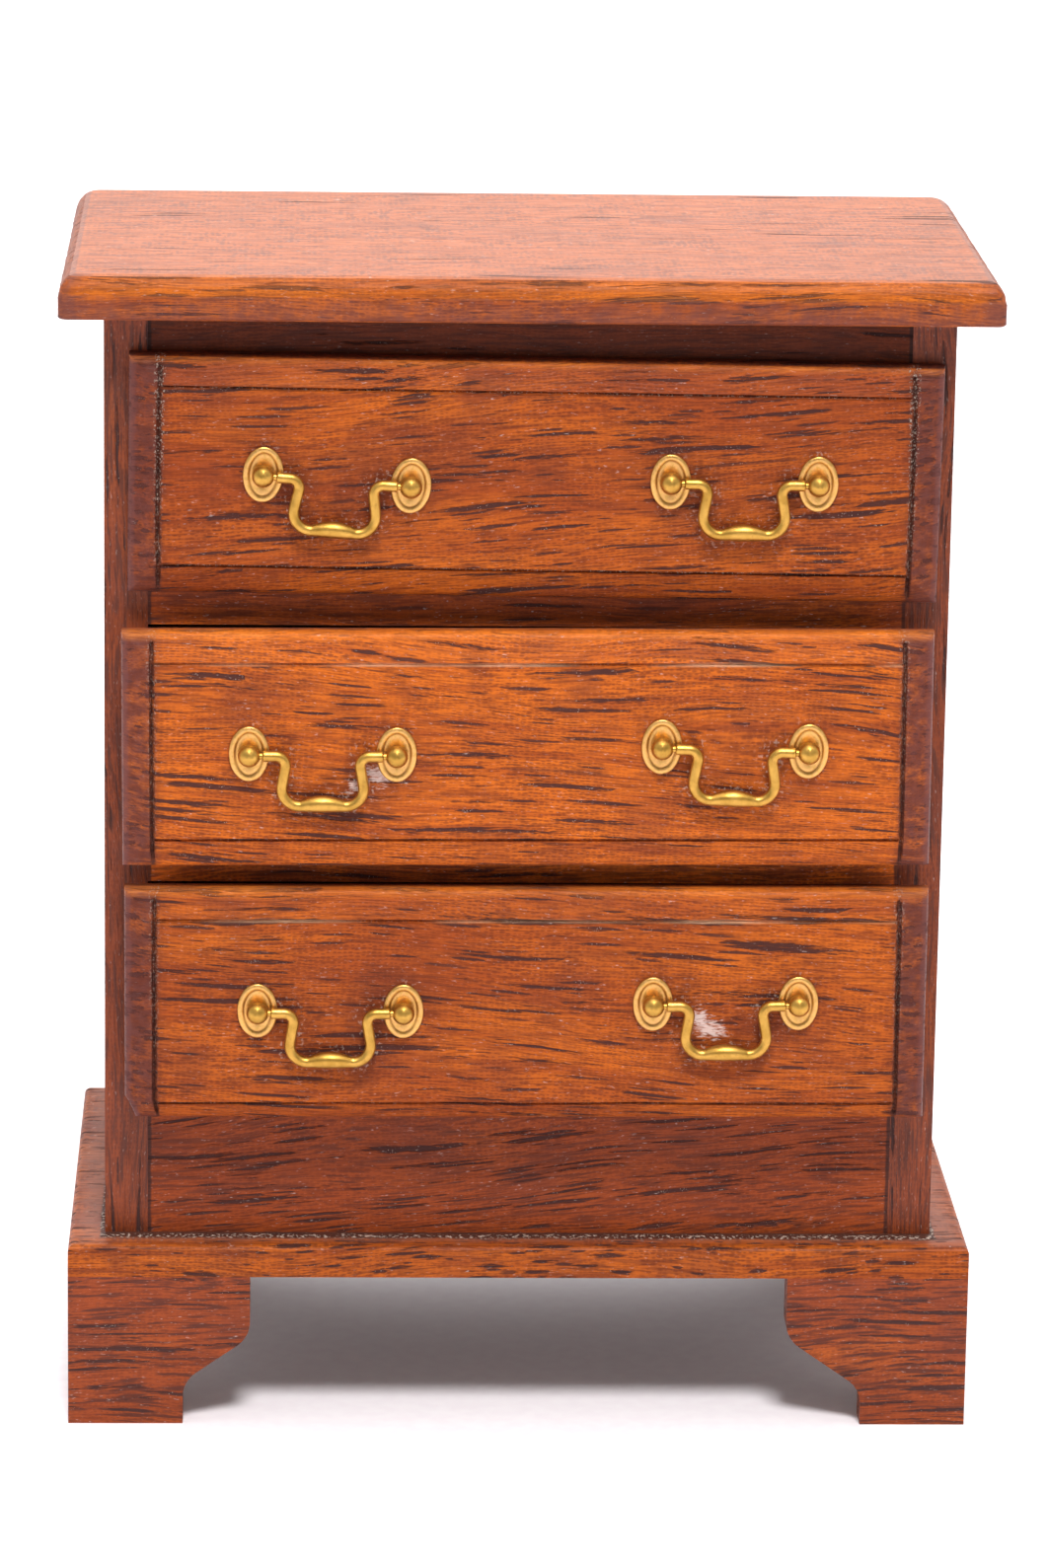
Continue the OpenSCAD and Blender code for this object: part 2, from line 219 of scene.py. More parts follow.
# Mahogany, from its ground to its figure, rays and pores.
ORANGE = colour(0.52, 0.118, 0.012)
RED = colour(0.28, 0.052, 0.011)
PURPLE = colour(0.12, 0.030, 0.020)
FIBRE = colour(0.13, 0.024, 0.008)
BAND = colour(0.080, 0.022, 0.014)
RAY = colour(0.13, 0.026, 0.010)
FINE_PORE = colour(0.06, 0.018, 0.012)
PORE = colour(0.050, 0.020, 0.018)

# What has happened to it since, and the painted highlight and painted shade laid over it.
DUST = colour(0.56, 0.43, 0.35)
DUST_FILM = colour(0.36, 0.17, 0.13)
PALE_DUST = colour(0.80, 0.47, 0.28)
LINT_WHITE = colour(0.76, 0.62, 0.57)
GRIME = colour(0.085, 0.018, 0.010)
STAIN = colour(0.075, 0.020, 0.015)
WORN = colour(0.13, 0.048, 0.044)
# A bright orange for the painted highlight on upper edges.
HIGHLIGHT_ORANGE = colour(0.75, 0.21, 0.022)
# Dark dirt in kerfs, lines and seams; also painted shade on the upper front's edge and along the base under
# the case.
DIRT_AND_PAINTED_SHADE = colour(0.040, 0.016, 0.013)

# The bare wood inside.
LIGHT_WOOD = colour(0.36, 0.18, 0.08)
LIGHT_GRAIN = colour(0.22, 0.10, 0.04)
PANEL_WOOD = colour(0.30, 0.16, 0.08)
PANEL_GRAIN = colour(0.19, 0.09, 0.045)
BARE_PORE = colour(0.13, 0.07, 0.035)

BRASS = colour(0.60, 0.345, 0.075)
DULL_BRASS = colour(0.47, 0.26, 0.048)
BRASS_SPOT = colour(0.36, 0.18, 0.04)
BRASS_SHINE = colour(0.93, 0.53, 0.22)
BRASS_DIRT = colour(0.24, 0.075, 0.03)

PAPER = colour(0.95, 0.90, 0.92)
PAPER_FIBRE = colour(0.92, 0.86, 0.89)
WHITE = colour(1.0, 1.0, 1.0)


# ---------------------------------------------------------------- wood

def grain_space(t, along, shift, slope):
    """Object coordinates in millimetres, turned so that the grain runs along X, and bent a little."""
    turn = {"x": (0, 0, 0), "y": (0, 0, -math.pi / 2), "z": (0, math.pi / 2, 0)}[along]
    place = t.node("TexCoord", {}).outputs["Object"]
    turned = t.node("Mapping", {"Vector": place, "Rotation": turn, "Scale": (1 / MM,) * 3})
    tilted = t.node("Mapping", {"Vector": turned.outputs[0], "Rotation": (0, math.radians(slope), 0),
                                "Location": shift}).outputs[0]
    long_waves = t.noise(t.vector("MULTIPLY", tilted, (0.05, 0.16, 0.16)), 1.0, 1.0, "Color")
    bend = t.vector("MULTIPLY", t.vector("SUBTRACT", long_waves, (0.5, 0.5, 0.5)), (0, 2.6, 2.6))
    return t.vector("ADD", tilted, bend)


def lenses(t, grain, cell, half, randomness):
    """Long lens-shaped spots, one in each cell. Returns how deep inside one a point lies, from 0 at
    its rim to 1 at its middle, and a random number for each."""
    inverse = tuple(1 / c for c in cell)
    q = t.vector("MULTIPLY", grain, inverse)
    cells = t.node("TexVoronoi", {"Vector": q, "Scale": 1.0, "Randomness": randomness})
    away = t.vector("SUBTRACT", q, cells.outputs["Position"])
    reach = t.length(t.vector("MULTIPLY", away, tuple(c / h for c, h in zip(cell, half))))
    chance = t.node("SeparateColor", {0: cells.outputs["Color"]})
    reach = t.times(reach, t.step(chance.outputs[1], 0.0, 1.0, (0.8, 1.6)))
    return t.math("MAXIMUM", t.math("SUBTRACT", 1.0, reach), 0.0), chance.outputs[0]


def streaks_in(t, grain, cell, half, fibre, share, patches):
    """Dark pore streaks: lenses that break up into fibres towards their ends. share is the part of
    them kept, and there are more of them where patches is high."""
    inside, pick = lenses(t, grain, cell, half, 0.95)
    kept = t.step(t.math("ADD", pick, t.times(patches, 0.6)), 1.25 - share, 1.35 - share)
    drawn = t.math("ADD", t.times(inside, 0.9), fibre)
    return t.times(t.step(drawn, 0.76, 0.98), kept)


def grain_noises(t, grain):
    """Noises that run with the grain: broad patches and bands, fibres, and more ragged fibres."""
    def drawn_out(along, across, detail):
        return t.noise(t.vector("MULTIPLY", grain, (along, across, across)), 1.0, detail)
    return {"patches": drawn_out(0.05, 0.2, 2.0), "bands": drawn_out(0.07, 1.5, 3.0),
            "fibre": drawn_out(0.45, 9, 3.0), "ragged": drawn_out(0.9, 13, 3.0)}


def ground_colour(t, grain, noises, tone, figure, band_length):
    """Orange to dark red wood, with darker clouds, fibres and bands."""
    deep = t.step(t.math("ADD", noises["patches"], (tone - 0.5) * 0.8), 0.25, 0.75)
    wood = t.mix(deep, ORANGE, RED)
    wood = t.mix(t.step(noises["bands"], 0.45, 0.66, (0.0, 0.6)), wood, RED)
    most_cloud = min(0.45, 1.3 * figure)
    wood = t.mix(t.step(t.noise(grain, 0.2, 3.0), 0.5, 0.72, (0.0, most_cloud)), wood, PURPLE)
    wood = t.mix(t.step(noises["fibre"], 0.44, 0.68, (0.0, 0.6)), wood, FIBRE)
    dark_bands = t.noise(t.vector("MULTIPLY", grain, (0.3 / band_length, 4.2, 4.2)), 1.0, 4.0)
    return t.mix(t.step(dark_bands, 0.49, 0.62, (0.0, figure)), wood, BAND)


def ray_flecks(t, grain):
    """The fine brickwork of the wood's rays, plainer in some places than in others."""
    rays, _ = lenses(t, grain, (0.37, 0.6, 0.20), (0.28, 0.8, 0.10), 0.5)
    seen = t.step(t.noise(grain, 0.25, 2.0), 0.36, 0.58, (0.5, 1.0))
    return t.times(t.step(rays, 0.1, 0.75), seen)


def add_pores(t, grain, noises, wood, streaks, length):
    """Lays pores of three sizes over the wood, with pale dust in them. Returns the colour, and how
    deep in a pore each point lies."""
    ragged, patches = noises["ragged"], noises["patches"]
    long_pores = streaks_in(t, grain, (8.5 * length, 0.7, 0.62), (5.6 * length, 0.35, 0.23), ragged,
                            streaks, patches)
    short_pores = streaks_in(t, grain, (4.2 * length, 0.5, 0.42), (2.4 * length, 0.22, 0.15), ragged,
                             streaks - 0.12, patches)
    fine_pores, _ = lenses(t, grain, (1.9, 0.3, 0.30), (0.9, 0.06, 0.065), 0.9)
    wood = t.tint(wood, t.step(fine_pores, 0.1, 0.5), 0.6, FINE_PORE)
    wood = t.tint(wood, short_pores, 0.88, PORE)
    wood = t.tint(wood, long_pores, 0.94, PORE)
    pores = t.math("MAXIMUM", long_pores, t.times(short_pores, 0.7))

    spots = t.node("TexVoronoi", {"Vector": grain, "Scale": 7.0}).outputs["Distance"]
    specks = t.times(t.step(spots, 0.26, 0.14), t.step(t.noise(grain, 1.1, 2.0), 0.5, 0.66))
    in_pores = t.times(specks, t.step(pores, 0.2, 0.8, (0.05, 1.0)))
    return t.tint(wood, in_pores, 0.6, DUST), pores


def add_use(t, grain, noises, wood):
    """Lays the marks of use and a painted highlight over the wood, where the mesh's attributes put them:
    grime and fluff round the handles, lint, stained bevels, worn arrises, a painted highlight along
    upper edges, and dust in scribed lines."""
    grime = t.attribute("grime")
    smudges = t.times(grime, t.step(t.noise(grain, 1.3, 4.0), 0.3, 0.65))
    wood = t.tint(wood, smudges, 0.6, GRIME)
    fluff = t.times(t.step(grime, 0.45, 0.95), t.step(t.noise(grain, 4.5, 5.0), 0.56, 0.68))
    wood = t.tint(wood, fluff, 0.5, DUST)
    turned = t.node("Mapping", {"Vector": grain, "Rotation": (0, 0.7, 0), "Scale": (2.5, 2.5, 9.0)})
    strands = t.noise(turned.outputs[0], 1.0, 4.0)
    lint = t.step(t.math("ADD", t.attribute("lint"), t.times(strands, 2.2)), 1.35, 2.0)
    wood = t.tint(wood, lint, 0.72, LINT_WHITE)
    wood = t.mix(t.times(t.attribute("stained"), t.step(noises["bands"], 0.35, 0.6, (0.5, 1.0))), wood,
                 STAIN)
    wear = t.math("ADD", t.attribute("wear"), t.times(t.noise(grain, 1.6, 3.0), 0.7))
    wood = t.tint(wood, t.step(wear, 0.45, 1.15), 0.7, WORN)
    # A painted highlight on upper edges and on the top's round, where the mesh puts it.
    wood = t.mix(t.times(t.attribute("painted_highlight"), t.step(noises["ragged"], 0.65, 0.35, (0.3, 0.85))), wood,
                 HIGHLIGHT_ORANGE)
    return t.mix(t.times(t.attribute("pale"), t.step(noises["ragged"], 0.35, 0.6, (0.5, 1.0))), wood,
                 PALE_DUST)


def loose_crumbs(t, grain, share):
    """Crumbs in the kerfs of a drawer front, where its mesh puts them."""
    loose = t.math("ADD", t.attribute("crumbs"), t.times(t.noise(grain, 0.6, 3.0), 0.6))
    crumbs = t.times(t.step(loose, 0.6, 1.1), t.step(t.noise(grain, 6.5, 4.0), 0.52, 0.66))
    return t.times(crumbs, share)


def uneven_by(t, grain, scale, spread):
    """A wandering distance in metres, from a spread in millimetres."""
    return t.times(t.math("SUBTRACT", t.noise(grain, scale, 3.0), 0.5), spread * MM)


def object_axes(t):
    return t.node("SeparateXYZ", {0: t.node("TexCoord", {}).outputs["Object"]}).outputs


def end_seams(t, grain, middle, half, width):
    """A dark line across each end of a board that runs from middle - half to middle + half in X."""
    off = t.math("ABSOLUTE", t.math("SUBTRACT", object_axes(t)[0], middle * MM))
    off = t.math("ADD", off, uneven_by(t, grain, 1.5, 0.2))
    return t.step(off, (half - width) * MM, (half - width / 2) * MM)


def settle_dust_and_shade(t, grain, wood, half, front, reach):
    """Lays a film of dust over the wood, as far as reach round a case whose half width and front
    are given, and a dark band of painted shade for a gap under the front of the case. Returns the
    colour, and where crumbs lie."""
    axes = object_axes(t)
    beside = t.math("SUBTRACT", t.math("ABSOLUTE", axes[0]), half * MM)
    before = t.math("SUBTRACT", front * MM, axes[1])
    uneven = uneven_by(t, grain, 1.1, 1.2)
    away = t.math("ADD", t.math("MAXIMUM", beside, before), uneven)
    wood = t.tint(wood, t.step(away, reach * MM, 0.3 * reach * MM), 0.45, DUST_FILM)

    off_front = t.math("MAXIMUM", before, t.times(beside, 4.0))
    off_front = t.math("ADD", off_front, t.times(uneven, 0.6))
    # Painted shade: a dark band on the base along the joint just before the case front.
    wood = t.tint(wood, t.step(off_front, 1.7 * MM, 0.9 * MM), 0.85, DIRT_AND_PAINTED_SHADE)
    crumbs = t.times(t.step(t.noise(grain, 4.2, 3.0), 0.53, 0.58), 1.25)
    thick = t.times(t.step(off_front, 1.5 * MM, 0.9 * MM), t.step(off_front, 0.2 * MM, 0.6 * MM))
    return wood, t.times(thick, crumbs)


def mahogany(name, along, shift, slope=0.0, tone=0.5, streaks=0.6, figure=0.3, gloss=0.08, shade=1.0,
             pore_length=1.0, band_length=1.0, crumbly=1.0, seams=None, settled=None):
    """Oiled mahogany.

    along and slope give the way its grain runs, and shift the part of the pattern that it shows.
    tone runs from 0, bright orange, to 1, dark red. streaks is the share of pores kept, and figure
    the strength of the dark bands and clouds between them. shade darkens or brightens all of it, and
    on some boards it is painted shade or painted light for how they are lit. crumbly is how thickly
    crumbs lie. seams holds what end_seams asks for, and settled what the settled dust and painted
    shade on the base ask for.
    """
    t = Tree(name)
    grain = grain_space(t, along, shift, slope)
    noises = grain_noises(t, grain)
    wood = ground_colour(t, grain, noises, tone, figure, band_length)
    rays = ray_flecks(t, grain)
    wood = t.tint(wood, rays, 0.62, RAY)
    wood, pores = add_pores(t, grain, noises, wood, streaks, pore_length)
    wood = add_use(t, grain, noises, wood)

    # Dark dirt in kerfs, scribed lines and end seams, and painted shade on the upper front's edge through
    # its dust mark.
    dirt = t.times(t.attribute("dust"), t.step(t.noise(grain, 2.2, 4.0), 0.3, 0.6, (0.35, 0.95)))
    if seams:
        dirt = t.math("MAXIMUM", dirt, end_seams(t, grain, *seams))
    wood = t.tint(wood, dirt, 0.85, DIRT_AND_PAINTED_SHADE)
    crumbs = loose_crumbs(t, grain, crumbly)
    if settled:
        wood, fallen = settle_dust_and_shade(t, grain, wood, *settled)
        crumbs = t.math("MAXIMUM", crumbs, fallen)
    wood = t.tint(wood, crumbs, 0.8, DUST)
    # shade multiplies the colour: painted shade on the sides and top rail, painted light on the dividers
    # and the middle front.
    wood = t.mix(1.0, wood, colour(shade, shade, shade), "MULTIPLY")

    height = t.times(pores, -0.05)
    height = t.math("ADD", height, t.times(rays, -0.008))
    height = t.math("ADD", height, t.times(noises["fibre"], 0.02))
    height = t.math("ADD", height, t.times(crumbs, 0.06))
    roughness = t.math("ADD", t.step(noises["fibre"], 0.3, 0.8, (0.38, 0.52)), t.times(pores, 0.3))
    return t.finish(wood, roughness, height, Specular_IOR_Level=gloss)


def bare_wood(name, along, shift, light, dark):
    """Plain sanded wood with fine straight grain, for the parts inside."""
    t = Tree(name)
    grain = grain_space(t, along, shift, 0.0)
    bands = t.noise(t.vector("MULTIPLY", grain, (0.03, 0.9, 0.9)), 1.0, 3.0)
    fibre = t.noise(t.vector("MULTIPLY", grain, (0.25, 8, 8)), 1.0, 3.0)
    pores = t.step(lenses(t, grain, (2.4, 0.45, 0.45), (1.0, 0.09, 0.09), 1.0)[0], 0.1, 0.6)
    wood = t.mix(t.step(bands, 0.35, 0.7), light, dark)
    wood = t.mix(t.step(fibre, 0.4, 0.75, (0.0, 0.4)), wood, dark)
    wood = t.tint(wood, pores, 0.55, BARE_PORE)
    height = t.math("ADD", t.times(fibre, 0.03), t.times(pores, -0.04))
    return t.finish(wood, t.step(fibre, 0.3, 0.8, (0.55, 0.75)), height)


# ---------------------------------------------------------------- brass

def brass(name):
    """Drawn and stamped brass, a little tarnished, with dirt in its grooves."""
    t = Tree(name)
    place = t.node("TexCoord", {}).outputs["Object"]
    place = t.node("Mapping", {"Vector": place, "Scale": (1 / MM,) * 3}).outputs[0]
    spots = t.noise(place, 4.5, 3.0)
    metal = t.mix(t.step(t.noise(place, 1.3, 3.0), 0.35, 0.7), BRASS, DULL_BRASS)
    metal = t.mix(t.step(spots, 0.56, 0.75, (0.0, 0.4)), metal, BRASS_SPOT)
    shine = t.times(t.attribute("copper"), t.step(spots, 0.3, 0.6, (0.35, 0.9)))
    metal = t.mix(shine, metal, BRASS_SHINE)
    dirt = t.attribute("dirt")
    metal = t.mix(t.times(dirt, t.step(spots, 0.25, 0.6, (0.4, 1.0))), metal, BRASS_DIRT)
    height = t.times(t.noise(place, 9.0, 3.0), 0.004)
    roughness = t.math("ADD", t.step(spots, 0.4, 0.8, (0.36, 0.48)), t.times(dirt, 0.2))
    return t.finish(metal, roughness, height, Metallic=1.0)


# ---------------------------------------------------------------- mesh helpers

def mesh_piece(name, verts, faces, material, attributes, sharp_from):
    """A new piece from vertices in millimetres, with a number at each for every attribute. Edges are
    sharp where faces meet at more than sharp_from degrees."""
    mesh = bpy.data.meshes.new(name)
    mesh.from_pydata([tuple(c * MM for c in v) for v in verts], [], faces)
    mesh.validate()
    for key, values in attributes.items():
        layer = mesh.attributes.new(key, "FLOAT", "POINT")
        layer.data.foreach_set("value", np.asarray(values, np.float32))
    mesh.materials.append(material)
    made = bpy.data.objects.new(name, mesh)
    bpy.context.scene.collection.objects.link(made)
    mesh.shade_smooth()
    mesh.set_sharp_from_angle(angle=math.radians(sharp_from))
    return made


def strip(a, b):
    """Quads between two closed loops of vertex numbers."""
    n = len(a)
    return [(a[i], a[(i + 1) % n], b[(i + 1) % n], b[i]) for i in range(n)]


def grow(verts, points):
    """Adds points to verts and returns their numbers."""
    first = len(verts)
    verts.extend(points)
    return list(range(first, len(verts)))


def ease(x, low, high):
    """A smooth step from 0 at low to 1 at high."""
    u = np.clip((x - low) / (high - low), 0, 1)
    return u * u * (3 - 2 * u)


def bumpy(x, y, scale, seed):
    """Gentle noise between about -1 and 1."""
    return noise.noise((x / scale, y / scale, seed))


def spaced(length, dense, fine, coarse):
    """Coordinates from 0 to length, closely spaced within dense of either end."""
    n_edge = round(dense / fine)
    n_mid = round((length - 2 * dense) / coarse)
    edge = [dense * i / n_edge for i in range(n_edge)]
    middle = [dense + (length - 2 * dense) * i / n_mid for i in range(n_mid + 1)]
    return np.array(edge + middle + [length - e for e in reversed(edge)])


def sizes(node):
    """Lowest and highest corner of a CAD node in millimetres."""
    lo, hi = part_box(node)
    return lo / MM, hi / MM


# ---------------------------------------------------------------- handles

def handle_place(level, hand):
    """Matrix from a handle's own millimetres, origin on its axis, to the frame's."""
    lo, hi = sizes(f"{level}_{hand}_rosettes")
    field = sizes(f"{level}_drawer_front")[0].y
    middle = (lo + hi) / 2
    tilt = math.radians(HANDLE_TILT[f"{level}_{hand}"])
    return Matrix.Translation((middle.x, field - AXIS_H, middle.z)) @ Matrix.Rotation(tilt, 4, "Y")


def wire_arc(middle, radius, start, end, steps):
    """Points of the wire (x, z, radius of the wire) on an arc between two angles in radians."""
    turns = [start + (end - start) * i / steps for i in range(steps + 1)]
    return [(middle[0] + radius * math.cos(a), middle[1] + radius * math.sin(a), WIRE_R) for a in turns]


def pivot_and_shoulder():
    """The thin left pivot, and the rounded start of the full wire."""
    pivot_x = POST_SPACING / 2 + PIVOT_REACH
    points = [(-pivot_x, 0, PIVOT_TIP_R), (-pivot_x + 0.05, 0, PIVOT_R), (-SHOULDER_X - 0.02, 0, PIVOT_R)]
    for i in range(5):
        a = math.radians(90 * i / 4)
        points.append((-SHOULDER_X + SHOULDER_ROUND * (1 - math.cos(a)), 0,
                       WIRE_R - SHOULDER_ROUND * (1 - math.sin(a))))
    for i in range(1, 4):
        points.append((-SHOULDER_X + SHOULDER_ROUND + (SHOULDER_X - BEND_X - SHOULDER_ROUND) * i / 4, 0,
                       WIRE_R))
    return points


def bail_path():
    """Points (x, z) along the wire from one pivot to the other, with the radius at each."""
    lean = math.radians(LEG_LEAN)
    right_angle = math.pi / 2
    half = pivot_and_shoulder()
    half += wire_arc((-BEND_X, -SHOULDER_BEND), SHOULDER_BEND, right_angle, -lean, 10)

    leg_top = half[-1]
    corner_z = -BAIL_DROP + CORNER_BEND
    leg_end_z = corner_z + CORNER_BEND * math.sin(lean)
    leg_end_x = leg_top[0] - (leg_top[1] - leg_end_z) * math.tan(lean)
    for i in range(1, 5):
        u = i / 5
        half.append((leg_top[0] + (leg_end_x - leg_top[0]) * u, leg_top[1] + (leg_end_z - leg_top[1]) * u,
                     WIRE_R))
    corner_x = leg_end_x + CORNER_BEND * math.cos(lean)
    half += wire_arc((corner_x, corner_z), CORNER_BEND, math.pi - lean, 3 * right_angle, 12)

    for i in range(1, 13):
        u = 1 - i / 12
        swell = (1 - u * u) ** 1.4
        grip_r = WIRE_R + (GRIP_R - WIRE_R - 0.02) * swell
        half.append((corner_x * u, -BAIL_DROP + GRIP_LIFT * swell, grip_r))
    return half + [(-x, z, r) for x, z, r in reversed(half[:-1])]


def bail(level, hand, material):
    """One bail: a wire of changing thickness swept along its bent line."""
    place = handle_place(level, hand)
    path = bail_path()
    around = 28
    seed = 10.0 * LEVELS.index(level) + 3.0 * HANDS.index(hand)
    backward = Vector((0, 1, 0))
    verts, faces, rings, dirt = [], [], [], []
    for i, (x, z, r) in enumerate(path):
        before, after = path[max(i - 1, 0)], path[min(i + 1, len(path) - 1)]
        along = Vector((after[0] - before[0], 0, after[1] - before[1])).normalized()
        out = Vector((-along.z, 0, along.x))
        ring = []
        for k in range(around):
            a = 2 * math.pi * k / around
            side = out * math.cos(a) + backward * math.sin(a)
            uneven = 1 - 0.02 * abs(bumpy(x * 3 + a, z * 3, 1.0, seed))
            ring.append(tuple(place @ (Vector((x, 0, z)) + side * (r * uneven))))
            dirt.append(float(ease(math.sin(a), 0.2, 0.9)) * 0.8)
        rings.append(grow(verts, ring))
    for a, b in zip(rings, rings[1:]):
        faces += strip(b, a)
    faces += [tuple(rings[0]), tuple(reversed(rings[-1]))]
    made = mesh_piece(f"{level}_{hand}_bail_wire", verts, faces, material, {"dirt": dirt}, 50)
    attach(made, f"{level}_{hand}_bail")
    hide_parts(f"{level}_{hand}_bail")


# Rosette section, from the outer edge inwards: inset, height, dirt and copper shine.
ROSETTE_SECTION = (
    (0.02, 0.00, 0.6, 0), (0.00, 0.05, 0.4, 0), (0.00, 0.16, 0.0, 0.1), (0.03, 0.22, 0.0, 0.3),
    (0.08, 0.255, 0.0, 0.5), (0.16, 0.275, 0.0, 0.5), (0.25, 0.28, 0.0, 0.5), (0.33, 0.265, 0.0, 0.4),
    (0.38, 0.24, 0.25, 0.3), (0.42, 0.215, 0.5, 0.3), (0.46, 0.21, 0.4, 0.4), (0.52, 0.215, 0.0, 0.5),
    (0.62, 0.21, 0.0, 0.6), (0.78, 0.195, 0.0, 0.5), (0.92, 0.175, 0.2, 0.5), (1.05, 0.15, 0.5, 0.3),
)


def rosettes(level, hand, material):
    """Both stamped oval plates of a handle: a broad rim, a dirty groove and a dished middle."""
    place = handle_place(level, hand)
    around = 72
    seed = LEVELS.index(level)
    verts, faces, dirt, copper = [], [], [], []
    for side in (-1, 1):
        rings = []
        for inset, height, dark, shine in ROSETTE_SECTION:
            ring = []
            for k in range(around):
                a = 2 * math.pi * k / around
                wobble = 1 + 0.008 * bumpy(3 * math.cos(a), 3 * math.sin(a), 1.3, side + seed)
                x = (ROSETTE_W / 2 - inset) * math.cos(a) * wobble
                z = (ROSETTE_H / 2 - inset) * math.sin(a) * wobble
                local = Vector((side * POST_SPACING / 2 + x, AXIS_H - height, z))
                ring.append(tuple(place @ local))
            rings.append(grow(verts, ring))
            dirt += [dark] * around
            copper += [shine] * around
        for a, b in zip(rings, rings[1:]):
            faces += strip(a, b)
        faces += [tuple(reversed(rings[0])), tuple(rings[-1])]
    made = mesh_piece(f"{level}_{hand}_rosette_plates", verts, faces, material,
                      {"dirt": dirt, "copper": copper}, 40)
    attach(made, f"{level}_drawer")
    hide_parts(f"{level}_{hand}_rosettes")


# ---------------------------------------------------------------- drawer fronts

def lint_on(level):
    """A function from (x, z) on a front to how much lint has caught there, from 0 to 1."""
    spots = []
    for hand, x, z, wide, high in LINT.get(level, ()):
        middle = handle_place(level, hand) @ Vector((x, 0, z))
        spots.append((middle.x, middle.z, wide, high))

    def lint(x, z):
        return sum(math.exp(-((x - a) / w) ** 2 - ((z - b) / h) ** 2) for a, b, w, h in spots)
    return lint


def near_handles(level):
    """A function from (x, z) on a front to how dirty hands have made it there, from 0 to 1."""
    places = [handle_place(level, hand) for hand in HANDS]
    touched = [(x, z) for x, z, _ in bail_path()[::3]]
    touched += [(side * POST_SPACING / 2, z) for side in (-1, 1) for z in (-1.2, 0, 1.2)]
    points = [place @ Vector((x, 0, z)) for place in places for x, z in touched]
    spots = np.array([(p.x, p.z) for p in points])

    def grime(x, z):
        gap = np.sqrt(((spots - (x, z)) ** 2).sum(1)).min()
        return math.exp(-(gap / 1.7) ** 1.4)
    return grime


def bevel_depth(d, width):
    """How far a bevel lies behind the field at a distance d from the front's edge."""
    return FIELD_RISE - (FIELD_RISE - BEVEL_STEP) * d / width if d < width else 0.0


def front_point(x, z, level):
    """How far a front's surface lies behind its field at (x, z) from its lower left corner, and the
    marks that its edges and kerfs show there, with a painted highlight along its upper edge."""
    seed = FRONT_SEED[level]
    foot_bevel = FOOT_BEVEL_W[level]
    side = min(x, FRONT_W - x)
    low, high = z, FRONT_H - z
    edge = min(side, low, high)
    side_wander = 0.05 * bumpy(z, 0, 4.0, seed + (3 if x > FRONT_W / 2 else 0))
    line_wander = 0.04 * bumpy(x, 0, 6.0, seed + 7)
    low_bevel = bevel_depth(low, foot_bevel + line_wander)
    high_bevel = bevel_depth(high, BEVEL_W + line_wander)
    depth = max(bevel_depth(side, BEVEL_W + side_wander), low_bevel, high_bevel)

    from_kerf = abs(side - BEVEL_W - side_wander)
    torn = 1 + 0.35 * bumpy(x, z, 0.5, seed + 23)
    kerf = float(ease(from_kerf * torn, KERF_W / 2, KERF_W / 8))
    kerf *= float(ease(high, KERF_END, KERF_END + 0.3))
    from_line = min(abs(low - foot_bevel - line_wander), abs(high - BEVEL_W - line_wander))
    on_field = float(ease(side, BEVEL_W, BEVEL_W + 0.2))
    line = float(ease(from_line, LINE_W / 2, LINE_W / 6)) * on_field
    ground = max(bevel_depth(side, BEVEL_W), low_bevel, high_bevel)
    depth = max(depth, kerf * (KERF_DEPTH + min(ground, 0.6)), line * (LINE_DEPTH + BEVEL_STEP))

    radius = ARRIS_R * (1 + 0.35 * bumpy(x, z, 2.5, seed + 11))
    if edge < radius:
        depth += radius - math.sqrt(max(radius ** 2 - (radius - edge) ** 2, 0))
    depth += 0.012 * bumpy(x, z, 5.0, seed + 19)

    wear = 0.35 * (side < BEVEL_W) + float(ease(side, 0.55, 0.2)) * (0.5 + 0.5 * bumpy(z, 0, 1.5, seed))
    # A painted highlight along the front's upper edge.
    painted_highlight = float(ease(high, 0.7, 0.15)) * (0.5 + 0.6 * bumpy(x, 0, 5.0, seed + 2))
    dust = max(kerf, line * (0.65 + bumpy(x, z, 3.0, seed + 5)))
    crumbs = max(float(ease(from_kerf, 0.6, 0.1)) * (0.35 + 0.75 * z / FRONT_H), 0.6 * line)
    pale = 0.0
    # On the upper front's top edge the dust mark is painted shade, for the shadow of the top board, and the
    # painted highlight is left off.
    if level == "upper" and high < 0.12:
        dust, painted_highlight = 0.9, 0.0
    if level != "upper" and high < 2 * BEVEL_W and kerf < 0.1:
        dust = 0.2 * line
        pale = line * min(max(0.45 + 1.6 * bumpy(x, 0, 7.0, seed + 9), 0.0), 1.0)
    return max(depth, 0.0), {"wear": wear, "dust": max(dust, 0.0), "painted_highlight": max(painted_highlight, 0.0),
                             "crumbs": crumbs, "pale": pale}


# How strongly each mark shows behind a front's face, on its edges and tongue. The dust mark is dark,
# and on the upper front it is painted shade: it darkens that front's edges, where the top board
# casts its shadow.
MARKS_BEHIND = {"wear": 0.35, "dust": 0.0, "painted_highlight": 0.0, "crumbs": 0.0, "pale": 0.0, "grime": 0.3,
                "lint": 0.0, "stained": 0.5}
UPPER_PAINTED_SHADE = 0.9


